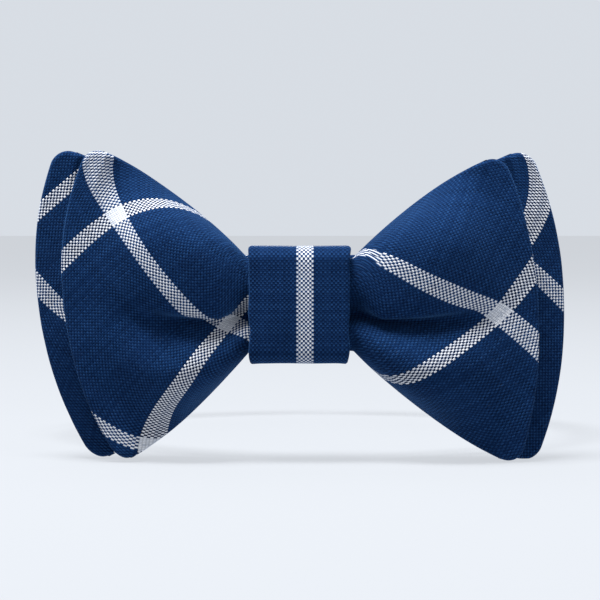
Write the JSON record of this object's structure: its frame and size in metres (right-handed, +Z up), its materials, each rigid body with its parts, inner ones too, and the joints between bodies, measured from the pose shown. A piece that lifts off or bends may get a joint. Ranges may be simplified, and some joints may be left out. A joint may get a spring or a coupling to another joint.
{
  "type": "bow tie",
  "caption": "Pre-tied butterfly bow tie: two stacked bows, a wrapped knot and an adjustable neckband with hook, eye and slider.",
  "frame": {"origin": "centre of the neck ring (the neckband mount), at the knot's mid-height; the centre of the knot is 70 mm in front of it, at y = -0.070", "axes": "+Z up, along the neck; -Y out of the bow's front; +X towards the viewer's right"},
  "size_m": [0.1271, 0.1514, 0.0695],
  "materials": {
    "bow_cloth": "matte plain-weave navy cloth with a wide off-white windowpane check, cut on the bias",
    "knot_cloth": "the same cloth on the straight grain, one upright stripe",
    "band_cloth": "the same cloth folded flat into a band",
    "interlining": "stiff off-white woven interlining",
    "thread": "navy sewing thread",
    "hardware": "nickel-plated pressed steel, lightly brushed"
  },
  "bodies": {
    "bow": {"front_bow_face": "bow_cloth", "front_bow_interlining": "interlining", "front_bow_back": "bow_cloth", "front_bow_seam_stitches": "thread", "back_bow_face": "bow_cloth", "back_bow_interlining": "interlining", "back_bow_back": "bow_cloth", "back_bow_seam_stitches": "thread", "pinch_thread": "thread", "knot_interlining": "interlining", "knot_wrap": "knot_cloth", "knot_back_stitches": "thread", "left_strap_root": "band_cloth", "right_strap_root": "band_cloth", "strap_tack_stitches": "thread"},
    "left_strap": {"left_strap_run": "band_cloth", "left_strap_take_up": "band_cloth"},
    "hook_carriage": {"left_strap_bight": "band_cloth", "left_strap_return": "band_cloth"},
    "hook": {"neck_hook": "hardware"},
    "slider": {"strap_slider": "hardware", "left_strap_end_loop": "band_cloth", "slider_bartack": "thread"},
    "right_strap": {"right_strap_run": "band_cloth", "eye_bartack": "thread"},
    "eye": {"neck_eye": "hardware"}
  },
  "joints": [
    {"name": "left_strap_swing", "type": "hinge", "parent": "bow", "child": "left_strap", "pos_m": [-0.0129, -0.066, 0], "axis": [0, 0, 1], "range_deg": [0, 24]},
    {"name": "neck_size_adjust", "type": "hinge", "parent": "left_strap", "child": "hook_carriage", "pos_m": [0, 0, 0], "axis": [0, 0, 1], "range_deg": [0, 30], "deforming": ["left_strap_take_up", "left_strap_return"]},
    {"name": "slider_travel", "type": "hinge", "parent": "hook_carriage", "child": "slider", "pos_m": [0, 0, 0], "axis": [0, 0, 1], "range_deg": [0, 30]},
    {"name": "hook_swing", "type": "hinge", "parent": "hook_carriage", "child": "hook", "pos_m": [-0.011, 0.0643, 0], "axis": [0, 0, 1], "range_deg": [-20, 100]},
    {"name": "right_strap_swing", "type": "hinge", "parent": "bow", "child": "right_strap", "pos_m": [0.0129, -0.066, 0], "axis": [0, 0, -1], "range_deg": [0, 24]},
    {"name": "eye_swing", "type": "hinge", "parent": "right_strap", "child": "eye", "pos_m": [0.011, 0.0643, 0], "axis": [0, 0, 1], "range_deg": [0, 90]}
  ],
  "couplings": [
    {"joint": "slider_travel", "follows": "neck_size_adjust", "ratio": 1}
  ]
}
